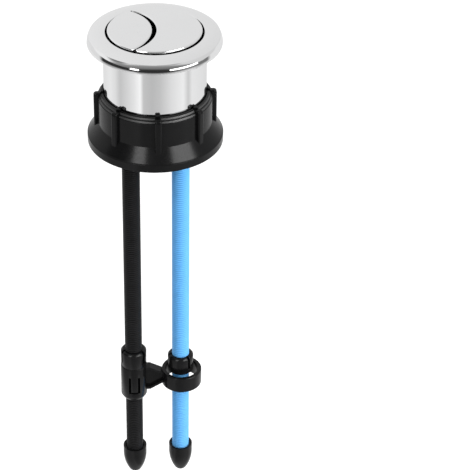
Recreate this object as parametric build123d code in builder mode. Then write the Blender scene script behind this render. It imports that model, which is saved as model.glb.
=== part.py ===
from build123d import *
import os
from math import asin, atan2, degrees

# Dual flush push button actuator for a cistern lid, in millimetres.
# The origin is on the barrel's axis, in the plane where the bezel seats on the lid.
# +Z is up, +X points to the full flush rod, and the front of the object faces -Y.

# Bezel: rolled flange, barrel and the well that the buttons sink into
barrel_diameter = 44.7
flange_overhang = 6.75
bezel_height = 5.4
rim_under = 0.5
rim_edge_height = 4.1
rim_edge_inset = 1.0
rim_edge_round = 0.5
seat_width = 1.8
recess_depth = 3.0
barrel_wall = 1.15
opening_edge = 0.35
barrel_smooth = 23.2
barrel_length = 49.8
barrel_lead = 0.8
thread_undercut = 0.15
thread_height = 0.6
thread_wall = 2.0

# Buttons: one disc, split by a crescent gap
button_gap = 0.8
button_proud = 0.9
button_crown = 0.5
button_wall = 1.6
button_edge = 0.75
button_corner = 0.9
skirt_wall = 1.3
skirt_depth = 11.1
split_radius = 20.6
split_past_axis = 0.6
split_gap = 1.7
split_setback = 2.5
press_travel = 7.0
stop_clearance = 0.3

# Rods, and what is threaded or pushed on them
rod_diameter = 8.1
rod_fit = 0.1
rod_chamfer = 0.6
rod_engagement = 10.0
reach_below_seat = 238.0
cap_wall = 1.45
cap_height = 15.95
cap_floor = 5.2
cap_nose = 12.0
cap_tip_radius = 3.4
cap_mouth_lip = 0.45
cap_mouth_depth = 1.2
collar_wall = 1.87
collar_height = 8.8
collar_base = 2.2
collar_chamfer = 0.9
collar_slot = 1.2
collar_slots = 3
half_collar_turn = -39.0
full_collar_turn = -51.0
full_collar_drop = 175.7

# Rod spacer: socket on the half flush rod, webbed arm and ring round the full flush rod
socket_drop = 172.1
socket_wall = 2.0
socket_length = 16.9
socket_cone = 2.3
socket_cone_wall = 0.6
tongue_width = 3.4
tongue_length = 9.4
tongue_top = 4.9
tongue_slot = 0.9
ring_drop = 175.8
ring_offset = 0.5
ring_clearance = 1.5
ring_wall = 1.9
ring_height = 8.0
ring_edge = 0.5
arm_top = 1.6
arm_root_height = 12.8
arm_root_run = 1.5
arm_tip_height = 5.6
arm_flange_width = 4.5
arm_flange = 1.4
arm_web = 1.6
arm_bite = 0.8

# Plungers, return springs and the guide insert that carries them
spigot_diameter = 8.4
spigot_play = 0.05
boss_wall = 1.7
boss_length = 5.9
plunger_wall = 1.0
plunger_flange = 1.6
plunger_flange_lip = 0.25
plunger_roof = 4.0
plunger_slide = 0.1
snap_step = 0.55
snap_length = 2.0
snap_slot = 1.4
snap_slot_length = 9.0
guide_wall = 0.85
guide_above_floor = 12.0
guide_below_floor = 11.5
insert_floor = 2.5
insert_play = 0.2
insert_web = 1.6
insert_web_depth = 7.0
post_length = 16.7
post_diameter = 6.4
post_web = 4.4
screw_diameter = 2.8
screw_play = 0.05
screw_hole_play = 0.25
screw_length = 12.0
screw_tip = 1.4
screw_head_diameter = 5.2
screw_head = 1.8
screw_head_edge = 0.7
screw_edge_distance = 0.8
spring_wire = 0.8
spring_play = 0.3
spring_side_room = 0.8
spring_turns = 6

# Lock nut: ribbed body, flared skirt and rim
nut_gap = 0.3
nut_play = 0.35
nut_thread_play = 0.1
nut_thread_length = 10.3
nut_wall = 2.4
nut_lip = 0.8
nut_steps = 2
nut_step_height = 1.2
nut_body_length = 11.65
nut_cone_flare = 4.3
nut_cone_length = 5.85
nut_rim_edge = 0.4
nut_rim_height = 3.95
nut_skirt_wall = 1.9
nut_collar_wall = 2.2
nut_edge_round = 0.22
rib_count = 8
rib_width = 2.9
rib_projection = 1.7
rib_top_drop = 0.3
rib_corner = 1.3
rib_edge = 0.7
rib_foot = 2.4
tab_width = 2.0
tab_length = 1.0
tab_height = 0.7

# Radii and heights that follow from the sizes above
barrel_radius = barrel_diameter / 2
bezel_radius = barrel_radius + flange_overhang
opening_radius = barrel_radius - barrel_wall
rim_edge_radius = bezel_radius - rim_edge_inset
crown_drop = bezel_height - rim_edge_height
crown_run = rim_edge_radius - opening_radius - opening_edge
bezel_crown_radius = (crown_run**2 + crown_drop**2) / (2 * crown_drop)
lip_drop = rim_edge_height - rim_under
lip_curve_radius = (rim_edge_inset**2 + lip_drop**2) / (2 * rim_edge_inset)
thread_crest_radius = barrel_radius - thread_undercut
thread_root_radius = thread_crest_radius - thread_height
barrel_bore_radius = thread_root_radius - thread_wall

button_radius = opening_radius - button_gap
button_edge_top = bezel_height + button_proud
button_top = button_edge_top + button_crown
button_underside = button_edge_top - button_wall
skirt_bottom = button_edge_top - skirt_depth
button_crown_radius = (button_radius**2 + button_crown**2) / (2 * button_crown)
full_edge_centre = split_past_axis - split_radius
half_edge_centre = full_edge_centre - split_setback
half_edge_radius = split_radius - split_gap + split_setback
ledge_top = skirt_bottom - press_travel - stop_clearance

rod_radius = rod_diameter / 2
rod_hole_radius = rod_radius + rod_fit
plunger_radius = rod_hole_radius + plunger_wall
guide_bore_radius = plunger_radius + plunger_slide
guide_radius = guide_bore_radius + guide_wall
spring_radius = guide_radius + spring_play + spring_wire / 2
spring_outer_radius = spring_radius + spring_wire / 2
rod_offset = button_radius - skirt_wall - spring_side_room - spring_outer_radius

floor_top = ledge_top - post_length
floor_bottom = floor_top - insert_floor
guide_top = floor_top + guide_above_floor
guide_bottom = floor_bottom - guide_below_floor
insert_radius = barrel_bore_radius - insert_play
screw_radius = screw_diameter / 2
screw_head_radius = screw_head_diameter / 2
screw_offset = insert_radius - screw_head_radius - screw_edge_distance

boss_radius = spigot_diameter / 2 + boss_wall
boss_bottom = button_underside - boss_length
plunger_flange_bottom = boss_bottom - plunger_flange
plunger_flange_radius = spring_radius + plunger_flange_lip
snap_top = guide_bottom - stop_clearance
plunger_bottom = snap_top - snap_length

cap_tip = -reach_below_seat
cap_top = cap_tip + cap_height
cap_radius = rod_hole_radius + cap_wall
nose_run = cap_nose - cap_tip_radius
nose_radius = (cap_radius**2 + nose_run**2 - cap_tip_radius**2) / (2 * (cap_radius - cap_tip_radius))
nose_angle = degrees(atan2(nose_run, nose_radius - cap_radius))
rod_bottom = cap_tip + cap_floor
rod_top = plunger_bottom + rod_engagement
collar_radius = rod_hole_radius + collar_wall
socket_top = -socket_drop
socket_bottom = socket_top - socket_length
socket_radius = rod_hole_radius + socket_wall
full_collar_bottom = -full_collar_drop
ring_inner_radius = collar_radius + ring_clearance
ring_outer_radius = ring_inner_radius + ring_wall

nut_bore_radius = barrel_radius + nut_play
nut_thread_radius = thread_crest_radius + nut_thread_play
nut_body_radius = nut_bore_radius + nut_wall
nut_top = -barrel_smooth - nut_gap
nut_shoulder = nut_top - nut_steps * nut_step_height
nut_cone_top = nut_shoulder - nut_body_length
nut_cone_bottom = nut_cone_top - nut_cone_length
nut_bottom = nut_cone_bottom - nut_rim_height
nut_cone_radius = nut_body_radius + nut_cone_flare
nut_rim_radius = nut_cone_radius + nut_rim_edge
nut_collar_radius = nut_thread_radius + nut_collar_wall
rib_radius = nut_body_radius + rib_projection

rod_places = {"half_flush": -rod_offset, "full_flush": rod_offset}
collar_bottoms = {"half_flush": socket_top, "full_flush": full_collar_bottom}
collar_turns = {"half_flush": half_collar_turn, "full_flush": full_collar_turn}

os.makedirs("parts", exist_ok=True)


def upright(x):
    """Section plane through the upright axis at x: its X runs outwards and its Y runs up."""
    return Plane((x, 0, 0), x_dir=(1, 0, 0), z_dir=(0, -1, 0))


def upright_axis(x):
    return Axis((x, 0, 0), (0, 0, 1))


def save(builder, name):
    builder.part.label = name
    export_step(builder.part, f"parts/{name}.step")


# Bezel: one chrome moulding, hollow under the flange, with a ledge and two screw posts inside
with BuildPart() as bezel:
    with BuildSketch(Plane.XZ) as bezel_section:
        with BuildLine():
            edge_centre = (opening_radius + opening_edge, bezel_height - opening_edge)
            crown_centre = (opening_radius + opening_edge, bezel_height - bezel_crown_radius)
            crown_angle = degrees(asin(crown_run / bezel_crown_radius))
            lip_angle = degrees(asin(lip_drop / lip_curve_radius))
            CenterArc(edge_centre, opening_edge, 90, 90)
            CenterArc(crown_centre, bezel_crown_radius, 90 - crown_angle, crown_angle)
            CenterArc((bezel_radius - lip_curve_radius, rim_under), lip_curve_radius, 0, lip_angle)
            CenterArc((bezel_radius - rim_under, rim_under), rim_under, -90, 90)
            Polyline(
                (bezel_radius - rim_under, 0),
                (bezel_radius - rim_under - seat_width, 0),
                (bezel_radius - rim_under - seat_width, recess_depth),
                (barrel_radius, recess_depth),
                (barrel_radius, -barrel_smooth),
                (thread_root_radius, -barrel_smooth),
                (thread_root_radius, barrel_lead - barrel_length),
                (thread_root_radius - barrel_lead, -barrel_length),
                (barrel_bore_radius, -barrel_length),
                (barrel_bore_radius, ledge_top),
                (opening_radius, ledge_top),
                (opening_radius, bezel_height - opening_edge),
            )
        make_face()
        rim_edge = bezel_section.vertices().sort_by_distance((rim_edge_radius, rim_edge_height))[0]
        fillet(rim_edge, rim_edge_round)
    revolve(axis=Axis.Z)
    with BuildSketch(Plane.XY.offset(floor_top)):
        for front_or_back in (-1, 1):
            with Locations((0, front_or_back * screw_offset)):
                Circle(post_diameter / 2)
            with Locations((0, front_or_back * (screw_offset + barrel_bore_radius) / 2)):
                Rectangle(post_web, barrel_bore_radius - screw_offset + thread_wall / 2)
    extrude(amount=post_length)
    with BuildSketch(Plane.XY.offset(floor_top)):
        with Locations((0, -screw_offset), (0, screw_offset)):
            Circle(screw_radius + screw_play)
    extrude(amount=screw_length, mode=Mode.SUBTRACT)
save(bezel, "bezel")


def half_outline(inset=0):
    """Leaf shape of the half flush button, inside the wall by inset."""
    Circle(button_radius - inset)
    with Locations((half_edge_centre, 0)):
        Circle(half_edge_radius - inset, mode=Mode.INTERSECT)


def full_outline(inset=0):
    """The rest of the disc, which is the full flush button."""
    Circle(button_radius - inset)
    with Locations((full_edge_centre, 0)):
        Circle(split_radius + inset, mode=Mode.SUBTRACT)


# Buttons: crowned chrome shells, each with a boss that takes its plunger's spigot
for side, outline in (("half_flush", half_outline), ("full_flush", full_outline)):
    with BuildPart() as button:
        with BuildSketch(Plane.XY.offset(skirt_bottom)):
            outline()
        extrude(amount=button_top - skirt_bottom)
        fillet(button.edges().filter_by(Axis.Z), button_corner)
        with BuildSketch(Plane.XZ):
            with BuildLine():
                reach = button_radius + button_gap
                crown_centre = (0, button_top - button_crown_radius)
                crown_angle = degrees(asin(reach / button_crown_radius))
                crown = CenterArc(crown_centre, button_crown_radius, 90 - crown_angle, crown_angle)
                Polyline(crown @ 1, (0, skirt_bottom), (reach, skirt_bottom), crown @ 0)
            make_face()
        revolve(axis=Axis.Z, mode=Mode.INTERSECT)
        fillet(button.faces().sort_by(Axis.Z)[-1].edges(), button_edge)
        with BuildSketch(Plane.XY.offset(skirt_bottom)):
            outline(skirt_wall)
        extrude(amount=button_underside - skirt_bottom, mode=Mode.SUBTRACT)
        with BuildSketch(Plane.XY.offset(boss_bottom)):
            with Locations((rod_places[side], 0)):
                Circle(boss_radius)
                Circle(spigot_diameter / 2 + spigot_play, mode=Mode.SUBTRACT)
        extrude(amount=boss_length)
    save(button, f"{side}_button")

# Plungers: spigot, spring flange, hollow stem for the rod and a slotted snap end
for side, x in rod_places.items():
    with BuildPart() as plunger:
        with BuildSketch(upright(x)):
            with BuildLine():
                Polyline(
                    (0, button_underside),
                    (spigot_diameter / 2, button_underside),
                    (spigot_diameter / 2, boss_bottom),
                    (plunger_flange_radius, boss_bottom),
                    (plunger_flange_radius, plunger_flange_bottom),
                    (plunger_radius, plunger_flange_bottom),
                    (plunger_radius, snap_top),
                    (plunger_radius + snap_step, snap_top),
                    (plunger_radius, plunger_bottom),
                    (rod_hole_radius, plunger_bottom),
                    (rod_hole_radius, plunger_flange_bottom - plunger_roof),
                    (0, plunger_flange_bottom - plunger_roof),
                    close=True,
                )
            make_face()
        revolve(axis=upright_axis(x))
        with BuildSketch(Plane.XY.offset(plunger_bottom)):
            with Locations((x, 0)):
                Rectangle(snap_slot, 2 * (plunger_radius + snap_step))
        extrude(amount=snap_slot_length, mode=Mode.SUBTRACT)
    save(plunger, f"{side}_plunger")

# Guide insert: floor across the barrel, two guide tubes and a web between them
with BuildPart() as guide_insert:
    with BuildSketch(Plane.XY.offset(floor_bottom)):
        Circle(insert_radius)
        with Locations((0, -screw_offset), (0, screw_offset)):
            Circle(screw_radius + screw_hole_play, mode=Mode.SUBTRACT)
    extrude(amount=insert_floor)
    with BuildSketch(Plane.XY.offset(floor_bottom)):
        Rectangle(2 * rod_offset, insert_web)
    extrude(amount=-insert_web_depth)
    with BuildSketch(Plane.XY.offset(guide_bottom)):
        with Locations(*[(x, 0) for x in rod_places.values()]):
            Circle(guide_radius)
    extrude(amount=guide_top - guide_bottom)
    with BuildSketch(Plane.XY.offset(guide_bottom)):
        with Locations(*[(x, 0) for x in rod_places.values()]):
            Circle(guide_bore_radius)
    extrude(amount=guide_top - guide_bottom, mode=Mode.SUBTRACT)
save(guide_insert, "guide_insert")

# Two screws from below, through the floor and into the posts of the bezel
with BuildPart() as insert_screws:
    for y in (-screw_offset, screw_offset):
        screw_end = floor_bottom + screw_length
        with BuildSketch(Plane.XZ.offset(-y)):
            with BuildLine():
                Polyline(
                    (0, screw_end),
                    (screw_radius, screw_end - screw_tip),
                    (screw_radius, floor_bottom),
                    (screw_head_radius, floor_bottom),
                    (screw_head_radius, floor_bottom - screw_head + screw_head_edge),
                    (screw_head_radius - screw_head_edge, floor_bottom - screw_head),
                    (0, floor_bottom - screw_head),
                    close=True,
                )
            make_face()
        revolve(axis=Axis((0, y, 0), (0, 0, 1)))
save(insert_screws, "insert_screws")

# Return springs, from the insert's floor to the plunger's flange
for side, x in rod_places.items():
    spring_start = floor_top + spring_wire / 2
    spring_rise = plunger_flange_bottom - floor_top - spring_wire - stop_clearance
    with BuildPart() as spring:
        with BuildLine():
            coil = Helix(spring_rise / spring_turns, spring_rise, spring_radius, (x, 0, spring_start))
        with BuildSketch(Plane(coil @ 0, z_dir=coil % 0)):
            Circle(spring_wire / 2)
        sweep(path=coil, is_frenet=True)
    save(spring, f"{side}_spring")

# Push rods
for side, x in rod_places.items():
    with BuildPart() as rod:
        with BuildSketch(Plane.XY.offset(rod_bottom)):
            with Locations((x, 0)):
                Circle(rod_radius)
        extrude(amount=rod_top - rod_bottom)
        chamfer(rod.edges().filter_by(GeomType.CIRCLE), rod_chamfer)
    save(rod, f"{side}_rod")

# Slotted collars on the rods
for side, x in rod_places.items():
    collar_bottom = collar_bottoms[side]
    collar_top = collar_bottom + collar_height
    with BuildPart() as collar:
        with BuildSketch(upright(x)):
            with BuildLine():
                Polyline(
                    (rod_hole_radius, collar_bottom),
                    (collar_radius, collar_bottom),
                    (collar_radius, collar_top - collar_chamfer),
                    (collar_radius - collar_chamfer, collar_top),
                    (rod_hole_radius, collar_top),
                    close=True,
                )
            make_face()
        revolve(axis=upright_axis(x))
        with BuildSketch(Plane.XY.offset(collar_bottom + collar_base)):
            with Locations((x, 0)):
                with PolarLocations(collar_radius, collar_slots, collar_turns[side]):
                    Rectangle(2 * collar_wall, collar_slot)
        extrude(amount=collar_height - collar_base, mode=Mode.SUBTRACT)
    save(collar, f"{side}_rod_collar")

# Rod spacer: socket with a snap tongue, I section arm and loose ring
with BuildPart() as rod_spacer:
    half_x = rod_places["half_flush"]
    ring_x = rod_places["full_flush"] + ring_offset
    arm_start = half_x + socket_radius - arm_bite
    arm_end = ring_x - ring_outer_radius + arm_bite
    arm_shoulder = half_x + socket_radius + arm_root_run
    arm_root_top = socket_top - arm_top
    arm_middle = arm_root_top - arm_root_height / 2
    ring_middle = -ring_drop - ring_height / 2
    with BuildSketch(upright(half_x)):
        with BuildLine():
            Polyline(
                (rod_hole_radius, socket_top),
                (socket_radius, socket_top),
                (socket_radius, socket_bottom),
                (rod_hole_radius + socket_cone_wall, socket_bottom - socket_cone),
                (rod_hole_radius, socket_bottom - socket_cone),
                close=True,
            )
        make_face()
    revolve(axis=upright_axis(half_x))
    with BuildSketch(upright(half_x)):
        with Locations((0, socket_top - tongue_top - tongue_length / 2)):
            Rectangle(tongue_width + 2 * tongue_slot, tongue_length)
        with Locations((0, socket_top - tongue_top - tongue_length / 2 + tongue_slot)):
            Rectangle(tongue_width, tongue_length, mode=Mode.SUBTRACT)
    extrude(amount=socket_radius, mode=Mode.SUBTRACT)
    with BuildSketch(upright(ring_x)):
        with Locations((ring_inner_radius + ring_wall / 2, ring_middle)):
            RectangleRounded(ring_wall, ring_height, ring_edge)
    revolve(axis=upright_axis(ring_x))
    for width, inset in ((arm_flange_width, 0), (arm_flange_width, arm_flange), (arm_web, 0)):
        root_half = arm_root_height / 2 - inset
        tip_half = arm_tip_height / 2 - inset
        clear_of_web = inset > 0
        with BuildSketch(Plane.XZ):
            with BuildLine():
                Polyline(
                    (arm_start, arm_middle + root_half),
                    (arm_shoulder, arm_middle + root_half),
                    (arm_end, ring_middle + tip_half),
                    (arm_end, ring_middle - tip_half),
                    (arm_shoulder, arm_middle - root_half),
                    (arm_start, arm_middle - root_half),
                    close=True,
                )
            make_face()
        extrude(amount=width / 2, both=True, mode=Mode.SUBTRACT if clear_of_web else Mode.ADD)
save(rod_spacer, "rod_spacer")

# Rounded caps on the ends of the rods
for side, x in rod_places.items():
    with BuildPart() as cap:
        with BuildSketch(upright(x)):
            with BuildLine():
                CenterArc((0, cap_tip + cap_tip_radius), cap_tip_radius, -90, 90 - nose_angle)
                nose_centre = (cap_radius - nose_radius, cap_tip + cap_nose)
                CenterArc(nose_centre, nose_radius, -nose_angle, nose_angle)
                Polyline(
                    (cap_radius, cap_tip + cap_nose),
                    (cap_radius, cap_top),
                    (rod_hole_radius + cap_mouth_lip, cap_top),
                    (rod_hole_radius, cap_top - cap_mouth_depth),
                    (rod_hole_radius, rod_bottom),
                    (0, rod_bottom),
                    (0, cap_tip),
                )
            make_face()
        revolve(axis=upright_axis(x))
    save(cap, f"{side}_rod_cap")

# One rib of the lock nut, with its outer edges rounded
with BuildPart() as nut_rib:
    with BuildSketch(Plane.XZ):
        rib_root = (nut_bore_radius + nut_body_radius) / 2
        rib_top = nut_top - rib_top_drop
        rib_bottom = nut_cone_top - rib_foot
        with BuildLine():
            CenterArc((rib_radius - rib_corner, rib_top - rib_corner), rib_corner, 0, 90)
            Polyline(
                (rib_radius - rib_corner, rib_top),
                (rib_root, rib_top),
                (rib_root, rib_bottom),
                (rib_radius, rib_bottom),
                (rib_radius, rib_top - rib_corner),
            )
        make_face()
    extrude(amount=rib_width / 2, both=True)
    fillet(nut_rib.edges().filter_by(Axis.Z).group_by(Axis.X)[-1], rib_edge)

# Lock nut: stepped top, ribbed body, flared skirt that is hollow below, threaded collar inside
with BuildPart() as lock_nut:
    with BuildSketch(Plane.XZ) as nut_section:
        lip_radius = nut_bore_radius + nut_lip
        step_width = (nut_wall - nut_lip) / nut_steps
        slope = nut_cone_length / nut_cone_flare
        skirt_radius = nut_rim_radius - nut_skirt_wall
        hollow_top = nut_cone_bottom - nut_rim_edge + slope * (skirt_radius - nut_collar_radius)
        with BuildLine():
            stairs = [(nut_bore_radius, nut_top), (lip_radius, nut_top)]
            for step in range(nut_steps):
                ledge = nut_top - (step + 1) * nut_step_height
                stairs.append((lip_radius + step * step_width, ledge))
                stairs.append((lip_radius + (step + 1) * step_width, ledge))
            rim = [
                (nut_cone_radius, nut_cone_bottom),
                (nut_rim_radius, nut_cone_bottom - nut_rim_edge),
                (nut_rim_radius, nut_bottom),
                (skirt_radius, nut_bottom),
            ]
            Polyline(
                *stairs,
                (nut_body_radius, nut_cone_top),
                *rim,
                (skirt_radius, nut_cone_bottom - nut_rim_edge),
                (nut_collar_radius, hollow_top),
                (nut_collar_radius, nut_bottom),
                (nut_thread_radius, nut_bottom),
                (nut_thread_radius, nut_bottom + nut_thread_length),
                (nut_bore_radius, nut_bottom + nut_thread_length),
                close=True,
            )
        make_face()
        corners = nut_section.vertices()
        outer_edges = [corners.sort_by_distance(place)[0] for place in stairs[3::2] + rim]
        fillet(outer_edges, nut_edge_round)
    revolve(axis=Axis.Z)
    with PolarLocations(0, rib_count):
        add(nut_rib.part)
    with BuildSketch(Plane.XY.offset(nut_shoulder)):
        with PolarLocations(nut_bore_radius + tab_length / 2, rib_count):
            Rectangle(tab_length, tab_width)
        Circle(nut_bore_radius, mode=Mode.SUBTRACT)
    extrude(amount=nut_top + tab_height - nut_shoulder)
save(lock_nut, "lock_nut")
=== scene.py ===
"""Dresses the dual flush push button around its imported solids, and sets its studio."""

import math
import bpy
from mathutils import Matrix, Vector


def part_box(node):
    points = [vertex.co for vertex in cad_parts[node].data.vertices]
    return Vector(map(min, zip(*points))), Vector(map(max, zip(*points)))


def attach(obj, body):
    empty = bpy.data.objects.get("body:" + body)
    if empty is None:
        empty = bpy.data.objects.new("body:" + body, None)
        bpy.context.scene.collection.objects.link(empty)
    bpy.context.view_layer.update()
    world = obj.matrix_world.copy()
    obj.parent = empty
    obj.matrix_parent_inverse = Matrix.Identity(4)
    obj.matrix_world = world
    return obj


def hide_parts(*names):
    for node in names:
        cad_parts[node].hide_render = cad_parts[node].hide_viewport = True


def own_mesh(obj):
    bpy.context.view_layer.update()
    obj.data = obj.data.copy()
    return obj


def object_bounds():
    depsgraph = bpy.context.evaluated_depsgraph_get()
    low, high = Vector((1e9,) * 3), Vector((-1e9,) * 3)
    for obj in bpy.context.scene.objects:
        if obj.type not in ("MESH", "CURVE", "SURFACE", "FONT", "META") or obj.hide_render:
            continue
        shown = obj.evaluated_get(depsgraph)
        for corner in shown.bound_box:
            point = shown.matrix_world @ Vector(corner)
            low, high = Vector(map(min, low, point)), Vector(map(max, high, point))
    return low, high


bl_info = {
    "name": "Dual flush push button",
    "version": (1, 0, 0),
    "blender": (4, 5, 0),
    "location": "View3D > Sidebar > Push Button",
    "description": "Threads, springs and finishes of a cistern push button, with its studio",
    "category": "Object",
}

import bmesh
import bpy
from bpy.props import FloatProperty, FloatVectorProperty, IntProperty, PointerProperty
from bpy.types import Operator, Panel, PropertyGroup
from mathutils import Matrix, Vector

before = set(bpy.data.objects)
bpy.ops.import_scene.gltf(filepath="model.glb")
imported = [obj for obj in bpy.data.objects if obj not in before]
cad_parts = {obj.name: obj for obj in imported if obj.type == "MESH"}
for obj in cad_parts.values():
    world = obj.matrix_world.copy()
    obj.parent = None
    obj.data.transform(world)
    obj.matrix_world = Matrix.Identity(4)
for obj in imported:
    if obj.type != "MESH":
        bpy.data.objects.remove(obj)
cad_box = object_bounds()

SIDES = ("half_flush", "full_flush")
CHROME_NODES = ("bezel", "half_flush_button", "full_flush_button")
ROD_BODIES = {"half_flush": "half_rod", "full_flush": "full_rod"}
PICTURE_SIZE = 470
SENSOR_WIDTH = 36.0
TURN = math.tau
UPRIGHT = (0.0, 0.0, 1.0)
MIDDLE = (0.0, 0.0, 0.0)
MERGE_DISTANCE = 1e-6
NOISE_RANGE = (0.3, 0.7)

# Bearing of the camera from the front, in degrees
VIEW_BEARING = -5.4

# One turn of the rods' thread: share of the pitch climbed, and whether it is at the crest
ROD_TOOTH = ((0.0, False), (0.1, False), (0.4, True), (0.66, True), (1.0, False))

# How much of the rods' colour is left at the root of their thread, where painted shade darkens the
# grooves
PAINTED_GROOVE_SHADE = {"half_flush": 0.3, "full_flush": 0.62}

# How much lighter than the other mouldings the black rod and the inner pieces are
ROD_LIGHTENING = 2.8
INNER_LIGHTENING = 2.2

# Head of an insert screw from its flat face to its seat: shares of its radius and height
HEAD_OUTLINE = ((0.7, 0.0), (0.9, 0.1), (1.0, 0.4), (1.0, 1.0))
POINT_SHARE = 0.3
RECESS_SHARE = 0.62
RECESS_DRAFT = 0.00012
SCREW_TURNS = (22.0, 61.0)

# Facets of the spring's wire, the screws and the nut's fillets
WIRE_SIDES = 10
SCREW_STEPS = 40
FILLET_STEPS = 128

# How light the floor looks in the chrome, by its bearing from the front in degrees
FLOOR_BANDS = (
    (-150, 0.81),
    (-118, 0.91),
    (-100, 0.83),
    (-91, 0.71),
    (-90, 0.69),
    (-84, 0.63),
    (-63, 0.77),
    (-49, 0.88),
    (-35, 1.06),
    (-28, 0.62),
    (-9, 0.56),
    (8, 0.62),
    (32, 0.82),
    (61, 0.98),
    (74, 0.68),
    (85, 0.9),
    (128, 0.83),
    (158, 0.76),
)

# The same for the floor further out, where the room's darkness falls on it
FAR_BANDS = (
    (-103, 0.8),
    (-95, 0.03),
    (20, 0.03),
    (45, 0.2),
    (90, 0.2),
    (98, 0.85),
)

# How light the walls look, by the angle in degrees from the top of the back wall
WALL_LEVELS = (
    (96, 0.83),
    (100, 0.5),
    (102, 0.3),
    (105, 0.26),
    (113, 0.2),
    (120, 0.095),
    (127, 0.02),
)

# Elevation of the top of the back wall in degrees, and how far the walls darken to the right
WALL_TOP = 54.0
WALL_SLOPE = 0.13

# Darker patches of the walls: azimuth, elevation, inner and outer radius in degrees, darkening
WALL_SHADES = (
    (VIEW_BEARING, 60.0, 24.0, 33.0, 0.45),
    (-72.0, 27.0, 10.0, 25.0, 0.8),
)

# Distances from the origin between which the floor's far levels take over, and half its width
FAR_START = 0.52
FAR_END = 0.9
FLOOR_REACH = 8.0

# Where the front falls on the floor's radial gradient
GRADIENT_FRONT = 0.25

# Azimuth, elevation, width, height and radiance of each softbox, and the nodes it is flagged off
SOFTBOXES = {
    "right_softbox": (49.0, 35.0, 0.58, 0.33, 9.1, ("bezel",)),
    "left_softbox": (-33.0, 38.0, 0.29, 0.3, 8.7, ("bezel",)),
    "right_strip": (44.5, 0.0, 0.88, 0.17, 3.0, ()),
    "left_strip": (-35.0, 0.0, 0.25, 0.17, 3.0, ()),
    "right_panel": (60.0, 8.0, 0.6, 0.66, 5.6, (*CHROME_NODES, "lock_nut")),
}
SOFTBOX_DISTANCE = 1.0
SOFTBOX_TARGET = Vector((0.0, 0.0, -0.06))


class ThreadSizes(PropertyGroup):
    """Sizes of the threads, springs and screws that are modelled on the solids."""

    rod_pitch: FloatProperty(
        name="Rod pitch", description="Climb of the rods' thread in one turn",
        default=0.00107, unit="LENGTH",
    )
    rod_depth: FloatProperty(
        name="Rod thread depth", description="From the crest to the root of the rods' thread",
        default=0.00055, unit="LENGTH",
    )
    rod_steps: IntProperty(
        name="Rod steps", description="Facets in one turn of a rod's thread", default=24,
    )
    barrel_pitch: FloatProperty(
        name="Barrel pitch", description="Climb of the barrel's thread in one turn",
        default=0.003, unit="LENGTH",
    )
    barrel_height: FloatProperty(
        name="Barrel thread height", description="How far the barrel's thread stands out",
        default=0.0006, unit="LENGTH",
    )
    barrel_crest: FloatProperty(
        name="Barrel crest", description="Radius of the barrel's thread over its crest",
        default=0.0222, unit="LENGTH",
    )
    barrel_flank: FloatProperty(
        name="Barrel flank", description="Height of each flank of the barrel's thread",
        default=0.0005, unit="LENGTH",
    )
    barrel_land: FloatProperty(
        name="Barrel land", description="Height of the flat crest of the barrel's thread",
        default=0.0006, unit="LENGTH",
    )
    barrel_lead: FloatProperty(
        name="Barrel lead", description="From the barrel's end up to the start of its thread",
        default=0.0012, unit="LENGTH",
    )
    barrel_sink: FloatProperty(
        name="Barrel sink", description="How far the thread's foot goes into the barrel",
        default=0.0002, unit="LENGTH",
    )
    barrel_cover: FloatProperty(
        name="Barrel cover", description="Least room from the thread's end up to the nut's top",
        default=0.003, unit="LENGTH",
    )
    barrel_steps: IntProperty(
        name="Barrel steps", description="Facets in one turn of the barrel's thread", default=96,
    )
    spring_wire: FloatProperty(
        name="Spring wire", description="Thickness of the springs' wire",
        default=0.0008, unit="LENGTH",
    )
    spring_turns: IntProperty(
        name="Spring turns", description="Turns of each return spring", default=6,
    )
    spring_steps: IntProperty(
        name="Spring steps", description="Facets in one turn of a spring", default=32,
    )
    screw_shank: FloatProperty(
        name="Screw shank", description="Radius of the insert screws' shanks",
        default=0.0014, unit="LENGTH",
    )
    screw_head: FloatProperty(
        name="Screw head", description="Height of the insert screws' heads",
        default=0.0018, unit="LENGTH",
    )
    recess_width: FloatProperty(
        name="Recess width", description="Width of the cross recess in a screw's head",
        default=0.0008, unit="LENGTH",
    )
    recess_depth: FloatProperty(
        name="Recess depth", description="Depth of the cross recess in a screw's head",
        default=0.0009, unit="LENGTH",
    )


class NutSizes(PropertyGroup):
    """Sizes of the fillets in the steps round the lock nut's mouth."""

    step_radius: FloatProperty(
        name="Step radius", description="Radius of the upper step's wall",
        default=0.0235, unit="LENGTH",
    )
    step_drop: FloatProperty(
        name="Step drop", description="From the tops of the nut's tabs down to the upper step",
        default=0.0019, unit="LENGTH",
    )
    step_width: FloatProperty(
        name="Step width", description="How far each step stands out from the one above",
        default=0.0008, unit="LENGTH",
    )
    step_height: FloatProperty(
        name="Step height", description="From one step down to the next",
        default=0.0012, unit="LENGTH",
    )
    step_count: IntProperty(name="Steps", description="Steps that have a fillet", default=2)
    fillet_width: FloatProperty(
        name="Fillet width", description="How far a fillet covers its step",
        default=0.00052, unit="LENGTH",
    )
    fillet_height: FloatProperty(
        name="Fillet height", description="How far a fillet climbs the wall behind its step",
        default=0.00068, unit="LENGTH",
    )
    fillet_sink: FloatProperty(
        name="Fillet sink", description="How far a fillet goes into the nut",
        default=0.00005, unit="LENGTH",
    )


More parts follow.
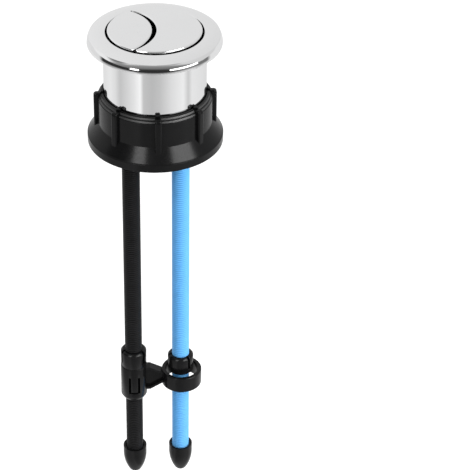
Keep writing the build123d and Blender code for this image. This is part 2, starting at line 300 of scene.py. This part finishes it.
class FinishSettings(PropertyGroup):
    """Colours and finishes of the pieces."""

    chrome: FloatVectorProperty(
        name="Chrome", description="Tint of the chrome plating",
        default=(0.87, 0.872, 0.876), subtype="COLOR", min=0.0, max=1.0,
    )
    black: FloatVectorProperty(
        name="Black plastic", description="Colour of the moulded black pieces",
        default=(0.0042, 0.0042, 0.0044), subtype="COLOR", min=0.0, max=1.0,
    )
    blue: FloatVectorProperty(
        name="Blue plastic", description="Colour of the full flush rod",
        default=(0.126, 0.436, 0.83), subtype="COLOR", min=0.0, max=1.0,
    )
    steel: FloatVectorProperty(
        name="Steel", description="Tint of the springs and screws",
        default=(0.62, 0.62, 0.63), subtype="COLOR", min=0.0, max=1.0,
    )
    edge: FloatProperty(
        name="Moulded edge", description="Rounding of the moulded pieces' sharp edges",
        default=0.00022, unit="LENGTH",
    )


class StudioSettings(PropertyGroup):
    """Camera and floor."""

    focal_pixels: FloatProperty(
        name="Focal length", description="Focal length in pixels of the picture", default=2000.0,
    )
    heading: FloatProperty(
        name="Heading", description="Turn of the camera about the upright",
        default=math.radians(-VIEW_BEARING), subtype="ANGLE",
    )
    pitch: FloatProperty(
        name="Pitch", description="How far the camera looks down",
        default=math.radians(34.0), subtype="ANGLE",
    )
    roll: FloatProperty(
        name="Roll", description="Tilt of the camera about its line of sight",
        default=math.radians(1.1), subtype="ANGLE",
    )
    depth: FloatProperty(
        name="Depth", description="Distance of the origin along the line of sight",
        default=0.85357, unit="LENGTH",
    )
    origin_pixel: FloatVectorProperty(
        name="Origin pixel", description="Column and row of the picture where the origin falls",
        default=(154.82, 41.99), size=2,
    )
    floor_gap: FloatProperty(
        name="Floor gap", description="Room under the rods' tips for a full press",
        default=0.008, unit="LENGTH",
    )
    floor_level: FloatProperty(
        name="Floor", description="Light that the floor adds so that it shows white", default=0.72,
    )
    floor_grey: FloatProperty(
        name="Floor shade", description="Share of light that the floor gives back",
        default=0.45, subtype="FACTOR", min=0.0, max=1.0,
    )


def bearing(azimuth, elevation):
    """Direction at an azimuth from the front, towards +X, and an elevation, in degrees."""
    around, above = math.radians(azimuth), math.radians(elevation)
    level = math.cos(above)
    return Vector((math.sin(around) * level, -math.cos(around) * level, math.sin(above)))


def add_piece(name, bm, body, material, replaces=(), smooth_angle=40.0):
    """Turn a bmesh into a finished piece that rides on a body."""
    bmesh.ops.recalc_face_normals(bm, faces=bm.faces)
    mesh = bpy.data.meshes.new(name)
    bm.to_mesh(mesh)
    bm.free()
    mesh.shade_smooth()
    mesh.set_sharp_from_angle(angle=math.radians(smooth_angle))
    mesh.materials.append(material)
    piece = bpy.data.objects.new(name, mesh)
    bpy.context.scene.collection.objects.link(piece)
    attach(piece, body)
    if replaces:
        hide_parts(*replaces)
    return piece


def copied_verts(bm, geometry):
    """Copy geometry in place, and give the vertices of the copy."""
    copy = bmesh.ops.duplicate(bm, geom=geometry)["geom"]
    return [item for item in copy if isinstance(item, bmesh.types.BMVert)]


def close_ends(bm):
    """Fill every open edge loop."""
    bmesh.ops.holes_fill(bm, edges=[edge for edge in bm.edges if edge.is_boundary], sides=0)


def screw_sweep(bm, geometry, centre, pitch, turns, steps):
    """Turn edges about an upright axis while they climb, one turn copied up, and close the ends."""
    bmesh.ops.spin(
        bm, geom=geometry, cent=centre, axis=UPRIGHT, dvec=(0.0, 0.0, pitch / steps),
        angle=TURN, steps=steps, use_merge=False,
    )
    one_turn = bm.verts[:] + bm.edges[:] + bm.faces[:]
    for turn in range(1, turns):
        copied = copied_verts(bm, one_turn)
        bmesh.ops.translate(bm, verts=copied, vec=(0.0, 0.0, turn * pitch))
    bmesh.ops.remove_doubles(bm, verts=bm.verts, dist=MERGE_DISTANCE)
    close_ends(bm)


def chain(bm, points, closed=False):
    """Vertices and edges along points, as geometry to spin."""
    verts = [bm.verts.new(point) for point in points]
    ends = verts[1:] + verts[:1] if closed else verts[1:]
    edges = [bm.edges.new(pair) for pair in zip(verts, ends)]
    return verts + edges


def start_material(name):
    """New material, with its node tree and its shader."""
    material = bpy.data.materials.new(name)
    material.use_nodes = True
    return material, material.node_tree, material.node_tree.nodes["Principled BSDF"]


def object_noise(tree, scale, detail=2.0):
    """Noise over the piece, with features about one over scale metres across."""
    place = tree.nodes.new("ShaderNodeTexCoord")
    noise = tree.nodes.new("ShaderNodeTexNoise")
    noise.inputs["Scale"].default_value = scale
    noise.inputs["Detail"].default_value = detail
    tree.links.new(place.outputs["Object"], noise.inputs["Vector"])
    return noise.outputs["Fac"]


def spread(tree, value, low, high):
    """Map a noise value so that it runs from low to high."""
    node = tree.nodes.new("ShaderNodeMapRange")
    node.inputs["From Min"].default_value, node.inputs["From Max"].default_value = NOISE_RANGE
    node.inputs["To Min"].default_value = low
    node.inputs["To Max"].default_value = high
    tree.links.new(value, node.inputs["Value"])
    return node.outputs["Result"]


def shade_between(tree, value, dark, light):
    """Colour that runs from dark to light with a noise value."""
    ramp = tree.nodes.new("ShaderNodeValToRGB")
    for element, position, colour in zip(ramp.color_ramp.elements, NOISE_RANGE, (dark, light)):
        element.position = position
        element.color = (*colour, 1.0)
    tree.links.new(value, ramp.inputs["Fac"])
    return ramp.outputs["Color"]


def raise_grain(tree, shader, value, strength, height):
    """Raise the surface by a noise value."""
    bump = tree.nodes.new("ShaderNodeBump")
    bump.inputs["Strength"].default_value = strength
    bump.inputs["Distance"].default_value = height
    tree.links.new(value, bump.inputs["Height"])
    tree.links.new(bump.outputs["Normal"], shader.inputs["Normal"])


def chrome_finish(finish):
    """Polished plating with a trace of waviness from the moulding below."""
    material, tree, shader = start_material("chrome_plating")
    colour = Vector(finish.chrome)
    veil = object_noise(tree, scale=90.0)
    tree.links.new(shade_between(tree, veil, colour * 0.985, colour), shader.inputs["Base Color"])
    haze = spread(tree, object_noise(tree, scale=400.0), low=0.055, high=0.08)
    tree.links.new(haze, shader.inputs["Roughness"])
    shader.inputs["Metallic"].default_value = 1.0
    raise_grain(tree, shader, object_noise(tree, scale=60.0), strength=0.02, height=0.0002)
    return material


def plastic_finish(name, colour, roughness, grain, mottling=0.12, gloss=0.16):
    """Moulded plastic with a faint mottle and a fine grain."""
    material, tree, shader = start_material(name)
    colour = Vector(colour)
    mottle = object_noise(tree, scale=220.0, detail=4.0)
    tree.links.new(
        shade_between(tree, mottle, colour * (1.0 - mottling), colour * (1.0 + mottling)),
        shader.inputs["Base Color"],
    )
    satin = spread(tree, object_noise(tree, scale=700.0), *roughness)
    tree.links.new(satin, shader.inputs["Roughness"])
    shader.inputs["Specular IOR Level"].default_value = gloss
    raise_grain(tree, shader, object_noise(tree, scale=2500.0), strength=grain, height=0.00005)
    return material


def paint_thread_groove_shade(material, x, root, crest, shade):
    """Paint shade into a rod's thread, darker towards its root, about the axis at x."""
    tree = material.node_tree
    shader = tree.nodes["Principled BSDF"]
    plain = shader.inputs["Base Color"].links[0].from_socket
    place = tree.nodes.new("ShaderNodeTexCoord")
    across = tree.nodes.new("ShaderNodeVectorMath")
    across.operation = "MULTIPLY_ADD"
    across.inputs[1].default_value = (1.0, 1.0, 0.0)
    across.inputs[2].default_value = (-x, 0.0, 0.0)
    tree.links.new(place.outputs["Object"], across.inputs[0])
    radius = tree.nodes.new("ShaderNodeVectorMath")
    radius.operation = "LENGTH"
    tree.links.new(across.outputs["Vector"], radius.inputs[0])
    # Painted shade: the colour falls to the given share at the thread's root and stays whole at its
    # crest
    depth = tree.nodes.new("ShaderNodeMapRange")
    depth.inputs["From Min"].default_value = root
    depth.inputs["From Max"].default_value = crest
    depth.inputs["To Min"].default_value = shade
    tree.links.new(radius.outputs["Value"], depth.inputs["Value"])
    colour_with_painted_shade = tree.nodes.new("ShaderNodeMixRGB")
    colour_with_painted_shade.blend_type = "MULTIPLY"
    colour_with_painted_shade.inputs["Fac"].default_value = 1.0
    tree.links.new(plain, colour_with_painted_shade.inputs["Color1"])
    tree.links.new(depth.outputs["Result"], colour_with_painted_shade.inputs["Color2"])
    tree.links.new(colour_with_painted_shade.outputs["Color"], shader.inputs["Base Color"])


def steel_finish(finish):
    """Drawn steel, with fine specks of a duller and rougher shade."""
    material, tree, shader = start_material("drawn_steel")
    colour = Vector(finish.steel)
    specks = object_noise(tree, scale=1500.0, detail=3.0)
    tree.links.new(shade_between(tree, specks, colour * 0.85, colour), shader.inputs["Base Color"])
    tree.links.new(spread(tree, specks, low=0.22, high=0.38), shader.inputs["Roughness"])
    shader.inputs["Metallic"].default_value = 1.0
    return material


def dress(node, material, edge=0.0):
    """Give a solid its finish, and round its sharp edges where a width is given."""
    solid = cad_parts[node]
    solid.data.materials.clear()
    solid.data.materials.append(material)
    if edge:
        weld = solid.modifiers.new("weld", "WELD")
        weld.merge_threshold = MERGE_DISTANCE
        rounding = solid.modifiers.new("edge", "BEVEL")
        rounding.width = edge
        rounding.segments = 2
        rounding.limit_method = "ANGLE"
        rounding.angle_limit = math.radians(35.0)
        rounding.harden_normals = True


class PUSHBUTTON_OT_chrome(Operator):
    """Plate the bezel and both buttons"""

    bl_idname = "push_button.chrome"
    bl_label = "Chrome bezel and buttons"

    def execute(self, context):
        plating = chrome_finish(context.scene.push_button_finish)
        for node in CHROME_NODES:
            dress(node, plating)
        return {"FINISHED"}


class PUSHBUTTON_OT_barrel_thread(Operator):
    """Raise the thread that the lock nut runs on"""

    bl_idname = "push_button.barrel_thread"
    bl_label = "Barrel thread"

    def execute(self, context):
        sizes = context.scene.push_button_threads
        low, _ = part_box("bezel")
        _, nut_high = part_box("lock_nut")
        crest = sizes.barrel_crest
        sunk = crest - sizes.barrel_height - sizes.barrel_sink
        start = low.z + sizes.barrel_lead
        upper = start + sizes.barrel_flank + sizes.barrel_land
        bm = bmesh.new()
        ridge = chain(
            bm,
            (
                (sunk, 0.0, start),
                (crest, 0.0, start + sizes.barrel_flank),
                (crest, 0.0, upper),
                (sunk, 0.0, upper + sizes.barrel_flank),
            ),
            closed=True,
        )
        turns = int((nut_high.z - start - sizes.barrel_cover) / sizes.barrel_pitch)
        screw_sweep(bm, ridge, MIDDLE, sizes.barrel_pitch, turns, sizes.barrel_steps)
        plating = bpy.data.materials["chrome_plating"]
        add_piece("barrel_thread", bm, "housing", plating)
        return {"FINISHED"}


class PUSHBUTTON_OT_mouldings(Operator):
    """Finish the lock nut, collars, spacer and caps"""

    bl_idname = "push_button.mouldings"
    bl_label = "Black mouldings"

    def execute(self, context):
        finish = context.scene.push_button_finish
        plastic = plastic_finish("black_plastic", finish.black, roughness=(0.17, 0.22), grain=0.04)
        dress("lock_nut", plastic)
        dress("rod_spacer", plastic, finish.edge)
        for side in SIDES:
            dress(f"{side}_rod_collar", plastic, finish.edge)
            dress(f"{side}_rod_cap", plastic)
        return {"FINISHED"}


class PUSHBUTTON_OT_nut_fillets(Operator):
    """Fill the corners of the steps round the lock nut's mouth"""

    bl_idname = "push_button.nut_fillets"
    bl_label = "Lock nut fillets"

    def execute(self, context):
        sizes = context.scene.push_button_nut
        _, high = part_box("lock_nut")
        sunk = sizes.fillet_sink
        bm = bmesh.new()
        for step in range(sizes.step_count):
            wall = sizes.step_radius + step * sizes.step_width
            ledge = high.z - sizes.step_drop - step * sizes.step_height
            corner = chain(
                bm,
                (
                    (wall - 2 * sunk, 0.0, ledge - 2 * sunk),
                    (wall + sizes.fillet_width, 0.0, ledge - sunk),
                    (wall - sunk, 0.0, ledge + sizes.fillet_height),
                ),
                closed=True,
            )
            bmesh.ops.spin(
                bm, geom=corner, cent=MIDDLE, axis=UPRIGHT, angle=TURN, steps=FILLET_STEPS,
                use_merge=True,
            )
        bmesh.ops.remove_doubles(bm, verts=bm.verts, dist=MERGE_DISTANCE)
        plastic = bpy.data.materials["black_plastic"]
        add_piece("lock_nut_fillets", bm, "nut", plastic)
        return {"FINISHED"}


class PUSHBUTTON_OT_rods(Operator):
    """Cut the thread of both push rods"""

    bl_idname = "push_button.rods"
    bl_label = "Threaded push rods"

    def execute(self, context):
        sizes = context.scene.push_button_threads
        finish = context.scene.push_button_finish
        black = Vector(finish.black) * ROD_LIGHTENING
        finishes = {
            "half_flush": plastic_finish("black_rod", black, roughness=(0.28, 0.36), grain=0.05),
            "full_flush": plastic_finish(
                "blue_rod", finish.blue, roughness=(0.3, 0.38), grain=0.02, mottling=0.03, gloss=0.5
            ),
        }
        for side in SIDES:
            low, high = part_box(f"{side}_rod")
            x, crest = (low.x + high.x) / 2, (high.x - low.x) / 2
            turns = round((high.z - low.z) / sizes.rod_pitch)
            root, pitch = crest - sizes.rod_depth, (high.z - low.z) / turns
            tooth = [
                (x + (crest if at_crest else root), 0.0, low.z + share * pitch)
                for share, at_crest in ROD_TOOTH
            ]
            # Paint shade into the grooves of the rod's thread
            paint_thread_groove_shade(finishes[side], x, root, crest, PAINTED_GROOVE_SHADE[side])
            bm = bmesh.new()
            screw_sweep(bm, chain(bm, tooth), (x, 0.0, 0.0), pitch, turns - 1, sizes.rod_steps)
            add_piece(
                f"{side}_threaded_rod", bm, ROD_BODIES[side], finishes[side],
                replaces=(f"{side}_rod",), smooth_angle=25.0,
            )
        return {"FINISHED"}


class PUSHBUTTON_OT_springs(Operator):
    """Wind the return springs, fixed to the housing; the coils do not shorten as their buttons go
    down
    """

    bl_idname = "push_button.springs"
    bl_label = "Return springs"

    def execute(self, context):
        sizes = context.scene.push_button_threads
        steel = steel_finish(context.scene.push_button_finish)
        wire = sizes.spring_wire / 2
        for side in SIDES:
            low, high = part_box(f"{side}_spring")
            x = (low.x + high.x) / 2
            radius = (high.x - low.x) / 2 - wire
            height = high.z - low.z - 2 * wire
            bm = bmesh.new()
            upright = Matrix.Translation((x + radius, 0.0, low.z + wire)) @ Matrix.Rotation(
                math.radians(90.0), 4, "X"
            )
            bmesh.ops.create_circle(
                bm, cap_ends=False, segments=WIRE_SIDES, radius=wire, matrix=upright
            )
            screw_sweep(
                bm, bm.verts[:] + bm.edges[:], (x, 0.0, 0.0), height / sizes.spring_turns,
                sizes.spring_turns, sizes.spring_steps,
            )
            spring = add_piece(
                f"{side}_coil", bm, "housing", steel, replaces=(f"{side}_spring",)
            )
            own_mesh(spring)
        return {"FINISHED"}


def sink_cross(bm, height, width, reach, depth):
    """Sink a cross into the face that looks down at a height."""

    def flat_faces():
        faces = [(abs(face.calc_center_median().z - height), face) for face in bm.faces]
        return [face for distance, face in faces if distance < MERGE_DISTANCE]

    for offset in (-reach, -width / 2, width / 2, reach):
        for across in (Vector((1.0, 0.0, 0.0)), Vector((0.0, 1.0, 0.0))):
            faces = flat_faces()
            edges = {edge for face in faces for edge in face.edges}
            verts = {vert for face in faces for vert in face.verts}
            bmesh.ops.bisect_plane(
                bm, geom=[*verts, *edges, *faces], dist=MERGE_DISTANCE / 10,
                plane_co=across * offset, plane_no=across,
            )
    cross = []
    for face in flat_faces():
        near, far = sorted(abs(value) for value in face.calc_center_median().xy)
        if near < width / 2 and far < reach:
            cross.append(face)
    bmesh.ops.inset_region(
        bm, faces=cross, use_even_offset=True, thickness=RECESS_DRAFT, depth=-depth
    )


class PUSHBUTTON_OT_screws(Operator):
    """Turn the two screws that hold the guide insert"""

    bl_idname = "push_button.screws"
    bl_label = "Insert screws"

    def execute(self, context):
        sizes = context.scene.push_button_threads
        low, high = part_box("insert_screws")
        head, shank = high.x, sizes.screw_shank
        bm = bmesh.new()
        outline = [
            (share * head, 0.0, low.z + height * sizes.screw_head) for share, height in HEAD_OUTLINE
        ]
        outline += [
            (shank, 0.0, low.z + sizes.screw_head),
            (shank, 0.0, high.z - shank),
            (POINT_SHARE * shank, 0.0, high.z),
        ]
        bmesh.ops.spin(
            bm, geom=chain(bm, outline), cent=MIDDLE, axis=UPRIGHT, angle=TURN, steps=SCREW_STEPS,
            use_merge=True,
        )
        bmesh.ops.remove_doubles(bm, verts=bm.verts, dist=MERGE_DISTANCE)
        close_ends(bm)
        bmesh.ops.recalc_face_normals(bm, faces=bm.faces)
        sink_cross(bm, low.z, sizes.recess_width, RECESS_SHARE * head, sizes.recess_depth)
        front = bm.verts[:]
        back = copied_verts(bm, bm.verts[:] + bm.edges[:] + bm.faces[:])
        places = (low.y + head, high.y - head)
        for verts, y, turn in zip((front, back), places, SCREW_TURNS):
            turned = Matrix.Rotation(math.radians(turn), 3, "Z")
            bmesh.ops.rotate(bm, verts=verts, cent=MIDDLE, matrix=turned)
            bmesh.ops.translate(bm, verts=verts, vec=(0.0, y, 0.0))
        steel = bpy.data.materials["drawn_steel"]
        add_piece("insert_screw_pair", bm, "housing", steel, replaces=("insert_screws",))
        return {"FINISHED"}


class PUSHBUTTON_OT_inner(Operator):
    """Finish the guide insert and the plungers"""

    bl_idname = "push_button.inner"
    bl_label = "Inner pieces"

    def execute(self, context):
        finish = context.scene.push_button_finish
        grey = Vector(finish.black) * INNER_LIGHTENING
        plastic = plastic_finish("inner_plastic", grey, roughness=(0.35, 0.45), grain=0.08)
        dress("guide_insert", plastic)
        for side in SIDES:
            dress(f"{side}_plunger", plastic)
        return {"FINISHED"}


def alignment(tree, direction, azimuth, elevation):
    """Cosine of the angle between a direction and a bearing."""
    dot = tree.nodes.new("ShaderNodeVectorMath")
    dot.operation = "DOT_PRODUCT"
    dot.inputs[1].default_value = bearing(azimuth, elevation)
    tree.links.new(direction, dot.inputs[0])
    return dot.outputs["Value"]


def toward(tree, direction, azimuth, elevation, inner, outer):
    """1 within inner degrees of a bearing, and 0 past outer degrees."""
    fade = tree.nodes.new("ShaderNodeMapRange")
    fade.interpolation_type = "SMOOTHSTEP"
    fade.inputs["From Min"].default_value = math.cos(math.radians(outer))
    fade.inputs["From Max"].default_value = math.cos(math.radians(inner))
    tree.links.new(alignment(tree, direction, azimuth, elevation), fade.inputs["Value"])
    return fade.outputs["Result"]


def arithmetic(tree, operation, *values):
    """One math node on values that are each a socket or a number."""
    node = tree.nodes.new("ShaderNodeMath")
    node.operation = operation
    for socket, value in zip(node.inputs, values):
        if isinstance(value, (int, float)):
            socket.default_value = value
        else:
            tree.links.new(value, socket)
    return node.outputs["Value"]


def level_ramp(tree, value, stops):
    """Grey level that follows stops of position and level."""
    ramp = tree.nodes.new("ShaderNodeValToRGB")
    first, last = ramp.color_ramp.elements
    for element, (position, level) in ((first, stops[0]), (last, stops[-1])):
        element.position = position
        element.color = (level, level, level, 1.0)
    for position, level in stops[1:-1]:
        ramp.color_ramp.elements.new(position).color = (level, level, level, 1.0)
    tree.links.new(value, ramp.inputs["Fac"])
    return ramp.outputs["Color"]


def light_world():
    """Pale ceiling and back wall, with a dark room behind the camera."""
    world = bpy.data.worlds.new("studio_walls")
    bpy.context.scene.world = world
    world.use_nodes = True
    tree = world.node_tree
    shader = tree.nodes["Background"]
    direction = tree.nodes.new("ShaderNodeTexCoord").outputs["Generated"]
    from_top = alignment(tree, direction, VIEW_BEARING + 180.0, WALL_TOP)
    nearness = arithmetic(tree, "MULTIPLY_ADD", from_top, 0.5, 0.5)
    stops = [((1.0 + math.cos(math.radians(angle))) / 2, level) for angle, level in WALL_LEVELS]
    lit = level_ramp(tree, nearness, sorted(stops))
    for azimuth, elevation, inner, outer, darkening in WALL_SHADES:
        patch = toward(tree, direction, azimuth, elevation, inner, outer)
        shade = arithmetic(tree, "MULTIPLY_ADD", patch, -darkening, 1.0)
        lit = arithmetic(tree, "MULTIPLY", lit, shade)
    rightwards = alignment(tree, direction, VIEW_BEARING + 90.0, 0.0)
    slope = arithmetic(tree, "MULTIPLY_ADD", rightwards, -WALL_SLOPE, 1.0)
    lit = arithmetic(tree, "MULTIPLY", lit, slope)
    seen = tree.nodes.new("ShaderNodeLightPath").outputs["Is Camera Ray"]
    tree.links.new(arithmetic(tree, "MAXIMUM", lit, seen), shader.inputs["Strength"])
    shader.inputs["Color"].default_value = (1.0, 1.0, 1.0, 1.0)


def add_softbox(name, azimuth, elevation, width, height, radiance, flagged):
    """Rectangular softbox that faces the actuator's upper half, and is flagged off some nodes."""
    toward_lamp = bearing(azimuth, elevation)
    lamp = bpy.data.lights.new(name, "AREA")
    lamp.shape = "RECTANGLE"
    lamp.size, lamp.size_y = width, height
    lamp.energy = radiance * math.pi * width * height
    softbox = bpy.data.objects.new(name, lamp)
    softbox.matrix_world = Matrix.LocRotScale(
        SOFTBOX_TARGET + toward_lamp * SOFTBOX_DISTANCE, toward_lamp.to_track_quat("Z", "Y"), None
    )
    bpy.context.scene.collection.objects.link(softbox)
    if flagged:
        flags = bpy.data.collections.new(f"{name}_flags")
        softbox.light_linking.receiver_collection = flags
        for node in flagged:
            flags.objects.link(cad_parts[node])
        for flag in flags.collection_objects:
            flag.light_linking.link_state = "EXCLUDE"


def floor_finish(studio):
    """White to the camera, with the actuator's shadow, and banded in the chrome."""
    material = bpy.data.materials.new("studio_floor")
    material.use_nodes = True
    tree = material.node_tree
    tree.nodes.clear()
    path = tree.nodes.new("ShaderNodeLightPath")

    matt = tree.nodes.new("ShaderNodeBsdfDiffuse")
    matt.inputs["Color"].default_value = (*[studio.floor_grey] * 3, 1.0)
    glow = tree.nodes.new("ShaderNodeEmission")
    glow.inputs["Strength"].default_value = studio.floor_level
    seen = tree.nodes.new("ShaderNodeAddShader")
    tree.links.new(matt.outputs["BSDF"], seen.inputs[0])
    tree.links.new(glow.outputs["Emission"], seen.inputs[1])

    place = tree.nodes.new("ShaderNodeTexCoord")
    around = tree.nodes.new("ShaderNodeTexGradient")
    around.gradient_type = "RADIAL"
    tree.links.new(place.outputs["Object"], around.inputs["Vector"])
    bands, far_bands = (
        level_ramp(
            tree, around.outputs["Fac"],
            sorted(
                ((GRADIENT_FRONT + azimuth / 360.0) % 1.0, level) for azimuth, level in levels
            ),
        )
        for levels in (FLOOR_BANDS, FAR_BANDS)
    )
    reach = tree.nodes.new("ShaderNodeVectorMath")
    reach.operation = "LENGTH"
    tree.links.new(place.outputs["Object"], reach.inputs[0])
    far = tree.nodes.new("ShaderNodeMapRange")
    far.interpolation_type = "SMOOTHSTEP"
    far.inputs["From Min"].default_value = FAR_START
    far.inputs["From Max"].default_value = FAR_END
    tree.links.new(reach.outputs["Value"], far.inputs["Value"])
    paper = tree.nodes.new("ShaderNodeMixRGB")
    tree.links.new(far.outputs["Result"], paper.inputs["Fac"])
    tree.links.new(bands, paper.inputs["Color1"])
    tree.links.new(far_bands, paper.inputs["Color2"])
    mirrored = tree.nodes.new("ShaderNodeEmission")
    tree.links.new(paper.outputs["Color"], mirrored.inputs["Color"])

    sharp_ray = arithmetic(
        tree, "MAXIMUM", path.outputs["Is Glossy Ray"], path.outputs["Is Transmission Ray"]
    )
    upper = tree.nodes.new("ShaderNodeMixShader")
    tree.links.new(sharp_ray, upper.inputs["Fac"])
    tree.links.new(seen.outputs["Shader"], upper.inputs[1])
    tree.links.new(mirrored.outputs["Emission"], upper.inputs[2])

    clear = tree.nodes.new("ShaderNodeBsdfTransparent")
    side = tree.nodes.new("ShaderNodeNewGeometry")
    whole = tree.nodes.new("ShaderNodeMixShader")
    tree.links.new(side.outputs["Backfacing"], whole.inputs["Fac"])
    tree.links.new(upper.outputs["Shader"], whole.inputs[1])
    tree.links.new(clear.outputs["BSDF"], whole.inputs[2])
    output = tree.nodes.new("ShaderNodeOutputMaterial")
    tree.links.new(whole.outputs["Shader"], output.inputs["Surface"])
    return material


def add_floor(studio):
    """Wide floor, clear of the rods' tips when the buttons are down."""
    bm = bmesh.new()
    bmesh.ops.create_grid(bm, x_segments=1, y_segments=1, size=FLOOR_REACH)
    bmesh.ops.translate(bm, verts=bm.verts, vec=(0.0, 0.0, cad_box[0].z - studio.floor_gap))
    mesh = bpy.data.meshes.new("floor")
    bm.to_mesh(mesh)
    bm.free()
    mesh.materials.append(floor_finish(studio))
    floor = bpy.data.objects.new("floor", mesh)
    bpy.context.scene.collection.objects.link(floor)


def add_camera(studio):
    """Camera that sees the origin at its pixel of the picture."""
    turn, down, tilt = studio.heading, studio.pitch, studio.roll
    level_forward = Vector((math.sin(turn), math.cos(turn), 0.0))
    forward = math.cos(down) * level_forward - math.sin(down) * Vector(UPRIGHT)
    level_right = Vector((math.cos(turn), -math.sin(turn), 0.0))
    level_up = level_right.cross(forward)
    right = math.cos(tilt) * level_right + math.sin(tilt) * level_up
    up = math.cos(tilt) * level_up - math.sin(tilt) * level_right
    middle = PICTURE_SIZE / 2
    column, row = studio.origin_pixel
    across = (column - middle) / studio.focal_pixels * studio.depth
    above = (middle - row) / studio.focal_pixels * studio.depth

    lens = bpy.data.cameras.new("camera")
    lens.sensor_width = SENSOR_WIDTH
    lens.lens = studio.focal_pixels / PICTURE_SIZE * SENSOR_WIDTH
    camera = bpy.data.objects.new("camera", lens)
    camera.matrix_world = Matrix.LocRotScale(
        -(across * right + above * up + studio.depth * forward),
        Matrix((right, up, -forward)).transposed(),
        None,
    )
    bpy.context.scene.collection.objects.link(camera)
    bpy.context.scene.camera = camera


class PUSHBUTTON_OT_stage(Operator):
    """Set the floor, softboxes, walls and camera"""

    bl_idname = "push_button.stage"
    bl_label = "Studio"

    def execute(self, context):
        studio = context.scene.push_button_studio
        add_floor(studio)
        for name, settings in SOFTBOXES.items():
            add_softbox(name, *settings)
        light_world()
        add_camera(studio)
        context.scene.view_settings.view_transform = "Standard"
        return {"FINISHED"}


class PUSHBUTTON_PT_sidebar(Panel):
    """Lists the steps that dress the push button"""

    bl_idname = "PUSHBUTTON_PT_sidebar"
    bl_label = "Push Button"
    bl_space_type = "VIEW_3D"
    bl_region_type = "UI"
    bl_category = "Push Button"

    def draw(self, context):
        for operator in OPERATORS:
            self.layout.operator(operator.bl_idname)


OPERATORS = (
    PUSHBUTTON_OT_chrome,
    PUSHBUTTON_OT_barrel_thread,
    PUSHBUTTON_OT_mouldings,
    PUSHBUTTON_OT_nut_fillets,
    PUSHBUTTON_OT_rods,
    PUSHBUTTON_OT_springs,
    PUSHBUTTON_OT_screws,
    PUSHBUTTON_OT_inner,
    PUSHBUTTON_OT_stage,
)
GROUPS = {
    "push_button_threads": ThreadSizes,
    "push_button_nut": NutSizes,
    "push_button_finish": FinishSettings,
    "push_button_studio": StudioSettings,
}


def register():
    for name, group in GROUPS.items():
        bpy.utils.register_class(group)
        setattr(bpy.types.Scene, name, PointerProperty(type=group))
    for operator in OPERATORS:
        bpy.utils.register_class(operator)
    bpy.utils.register_class(PUSHBUTTON_PT_sidebar)


def unregister():
    bpy.utils.unregister_class(PUSHBUTTON_PT_sidebar)
    for operator in reversed(OPERATORS):
        bpy.utils.unregister_class(operator)
    for name, group in GROUPS.items():
        delattr(bpy.types.Scene, name)
        bpy.utils.unregister_class(group)


def main():
    register()
    bpy.ops.push_button.chrome()
    bpy.ops.push_button.barrel_thread()
    bpy.ops.push_button.mouldings()
    bpy.ops.push_button.nut_fillets()
    bpy.ops.push_button.rods()
    bpy.ops.push_button.springs()
    bpy.ops.push_button.screws()
    bpy.ops.push_button.inner()
    bpy.ops.push_button.stage()


if __name__ == "__main__":
    main()
